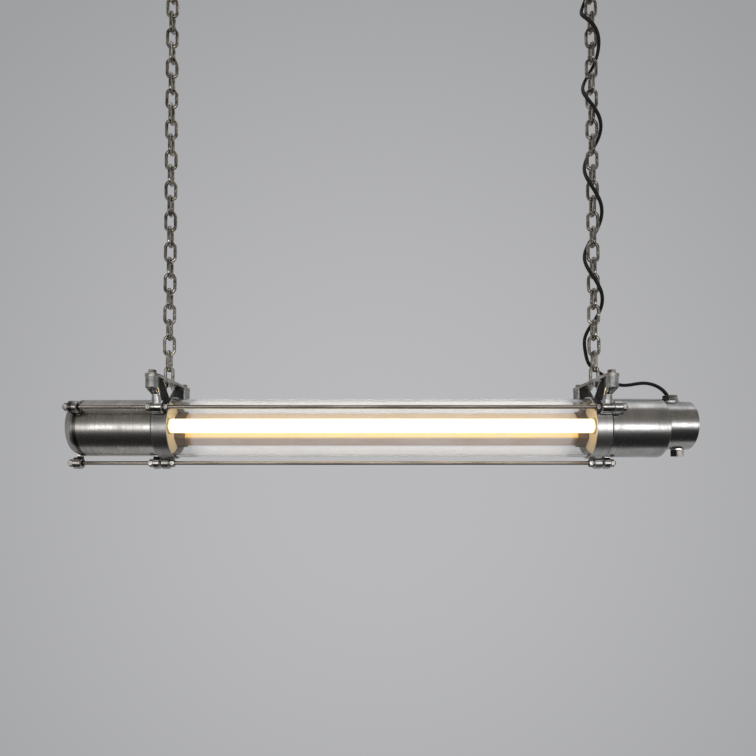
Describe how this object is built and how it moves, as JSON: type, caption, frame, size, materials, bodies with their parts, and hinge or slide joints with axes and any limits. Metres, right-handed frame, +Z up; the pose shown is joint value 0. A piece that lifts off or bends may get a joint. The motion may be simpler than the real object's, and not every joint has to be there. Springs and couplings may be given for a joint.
{
  "type": "pendant tube light",
  "caption": "Industrial pendant light: a glass tube clamped between cast end casings by tie rods, hung level on link chains from the ceiling, with a flex wound down one of them.",
  "frame": {"origin": "on the ceiling plane, midway between the ceiling plates", "axes": "+Z up into the ceiling, +X along the glass towards the cable entry, +Y to the rear"},
  "size_m": [1.166, 0.1892, 0.9682],
  "materials": {
    "polished_casting": "cast aluminium, ground and polished",
    "dull_casting": "cast aluminium, dull grey",
    "strap_steel": "bare steel, brushed",
    "rod_steel": "bare steel, browned with age",
    "fastener_steel": "bare steel, worn",
    "gland_brass": "nickel-plated brass, dull",
    "chain_steel": "welded steel, dark and waxed",
    "ceiling_paint": "dark grey paint",
    "flex_sheath": "black sheath, satin",
    "clear_glass": "clear borosilicate",
    "lit_lamp": "phosphor-coated glass, lit",
    "cap_aluminium": "bright aluminium",
    "pin_brass": "bright brass",
    "seal_rubber": "black rubber",
    "tray_paint": "sheet aluminium, cream enamel",
    "holder_plastic": "white moulded plastic",
    "ballast_steel": "grey paint over a steel core",
    "wire_sheath": "white insulation"
  },
  "bodies": {
    "ceiling": {"left_ceiling_plate": "ceiling_paint", "right_ceiling_plate": "ceiling_paint", "left_ceiling_eye": "chain_steel", "right_ceiling_eye": "chain_steel", "ceiling_rose": "ceiling_paint", "rose_bush": "seal_rubber", "rose_connector": "holder_plastic", "flex_top": "flex_sheath"},
    "right_top_link": {"right_top_link": "chain_steel"},
    "right_chain": {"right_chain_links": "chain_steel", "flex_chain": "flex_sheath"},
    "right_end_link": {"right_end_link": "chain_steel"},
    "left_top_link": {"left_top_link": "chain_steel"},
    "left_chain": {"left_chain_links": "chain_steel"},
    "left_end_link": {"left_end_link": "chain_steel"},
    "lamp": {"lamp_tube": "lit_lamp", "lamp_caps": "cap_aluminium", "lamp_pins": "pin_brass"},
    "fixture": {"left_casing": "polished_casting", "right_casing": "polished_casting", "terminal_chamber": "polished_casting", "left_collar": "dull_casting", "right_collar": "dull_casting", "hanger_left_front": "dull_casting", "hanger_left_rear": "dull_casting", "hanger_right_front": "dull_casting", "hanger_right_rear": "dull_casting", "left_strap": "strap_steel", "right_strap": "strap_steel", "left_u_bolt": "strap_steel", "right_u_bolt": "strap_steel", "tie_rod_front": "rod_steel", "tie_rod_rear": "rod_steel", "tie_rod_bottom": "rod_steel", "tie_rod_nuts": "fastener_steel", "tie_rod_washers": "fastener_steel", "strap_bolts": "fastener_steel", "strap_washers": "fastener_steel", "u_bolt_nuts": "fastener_steel", "chamber_screws": "fastener_steel", "gland_body": "gland_brass", "gland_nut": "gland_brass", "blanking_plug": "gland_brass", "flex_lower": "flex_sheath", "glass_tube": "clear_glass", "glass_seals": "seal_rubber", "flange_gaskets": "seal_rubber", "chamber_gasket": "seal_rubber", "gland_seal": "seal_rubber", "left_end_disc": "tray_paint", "right_end_disc": "tray_paint", "lamp_tray": "tray_paint", "tray_brackets": "tray_paint", "left_lampholder": "holder_plastic", "right_lampholder": "holder_plastic", "terminal_block": "holder_plastic", "ballast": "ballast_steel", "supply_wires": "wire_sheath", "tray_wire": "wire_sheath"}
  },
  "joints": [
    {"name": "swing", "type": "hinge", "parent": "ceiling", "child": "right_top_link", "pos_m": [0.402, 0, -0.04], "axis": [1, 0, 0], "range_deg": [-12, 12], "deforming": ["flex_top"]},
    {"name": "sway", "type": "hinge", "parent": "right_top_link", "child": "right_chain", "pos_m": [0.402, 0, -0.0697], "axis": [0, 1, 0], "range_deg": [-8, 8], "deforming": ["flex_top"]},
    {"name": "level", "type": "hinge", "parent": "right_chain", "child": "right_end_link", "pos_m": [0.402, 0, -0.7465], "axis": [0, 1, 0], "range_deg": [-8, 8], "deforming": ["flex_lower"]},
    {"name": "roll", "type": "hinge", "parent": "right_end_link", "child": "fixture", "pos_m": [0.402, 0, -0.7762], "axis": [1, 0, 0], "range_deg": [-15, 15], "deforming": ["flex_lower"]},
    {"name": "left_swing", "type": "hinge", "parent": "ceiling", "child": "left_top_link", "pos_m": [-0.402, 0, -0.04], "axis": [1, 0, 0], "range_deg": [-12, 12]},
    {"name": "left_sway", "type": "hinge", "parent": "left_top_link", "child": "left_chain", "pos_m": [-0.402, 0, -0.0697], "axis": [0, 1, 0], "range_deg": [-8, 8]},
    {"name": "left_level", "type": "hinge", "parent": "left_chain", "child": "left_end_link", "pos_m": [-0.402, 0, -0.7465], "axis": [0, 1, 0], "range_deg": [-8, 8]},
    {"name": "lamp_twist", "type": "hinge", "parent": "fixture", "child": "lamp", "pos_m": [0, -0.012, -0.8882], "axis": [1, 0, 0], "range_deg": [0, 90]}
  ],
  "couplings": [
    {"joint": "level", "follows": "sway", "ratio": -1},
    {"joint": "left_swing", "follows": "swing", "ratio": 1},
    {"joint": "left_sway", "follows": "sway", "ratio": 1},
    {"joint": "left_level", "follows": "sway", "ratio": -1}
  ]
}
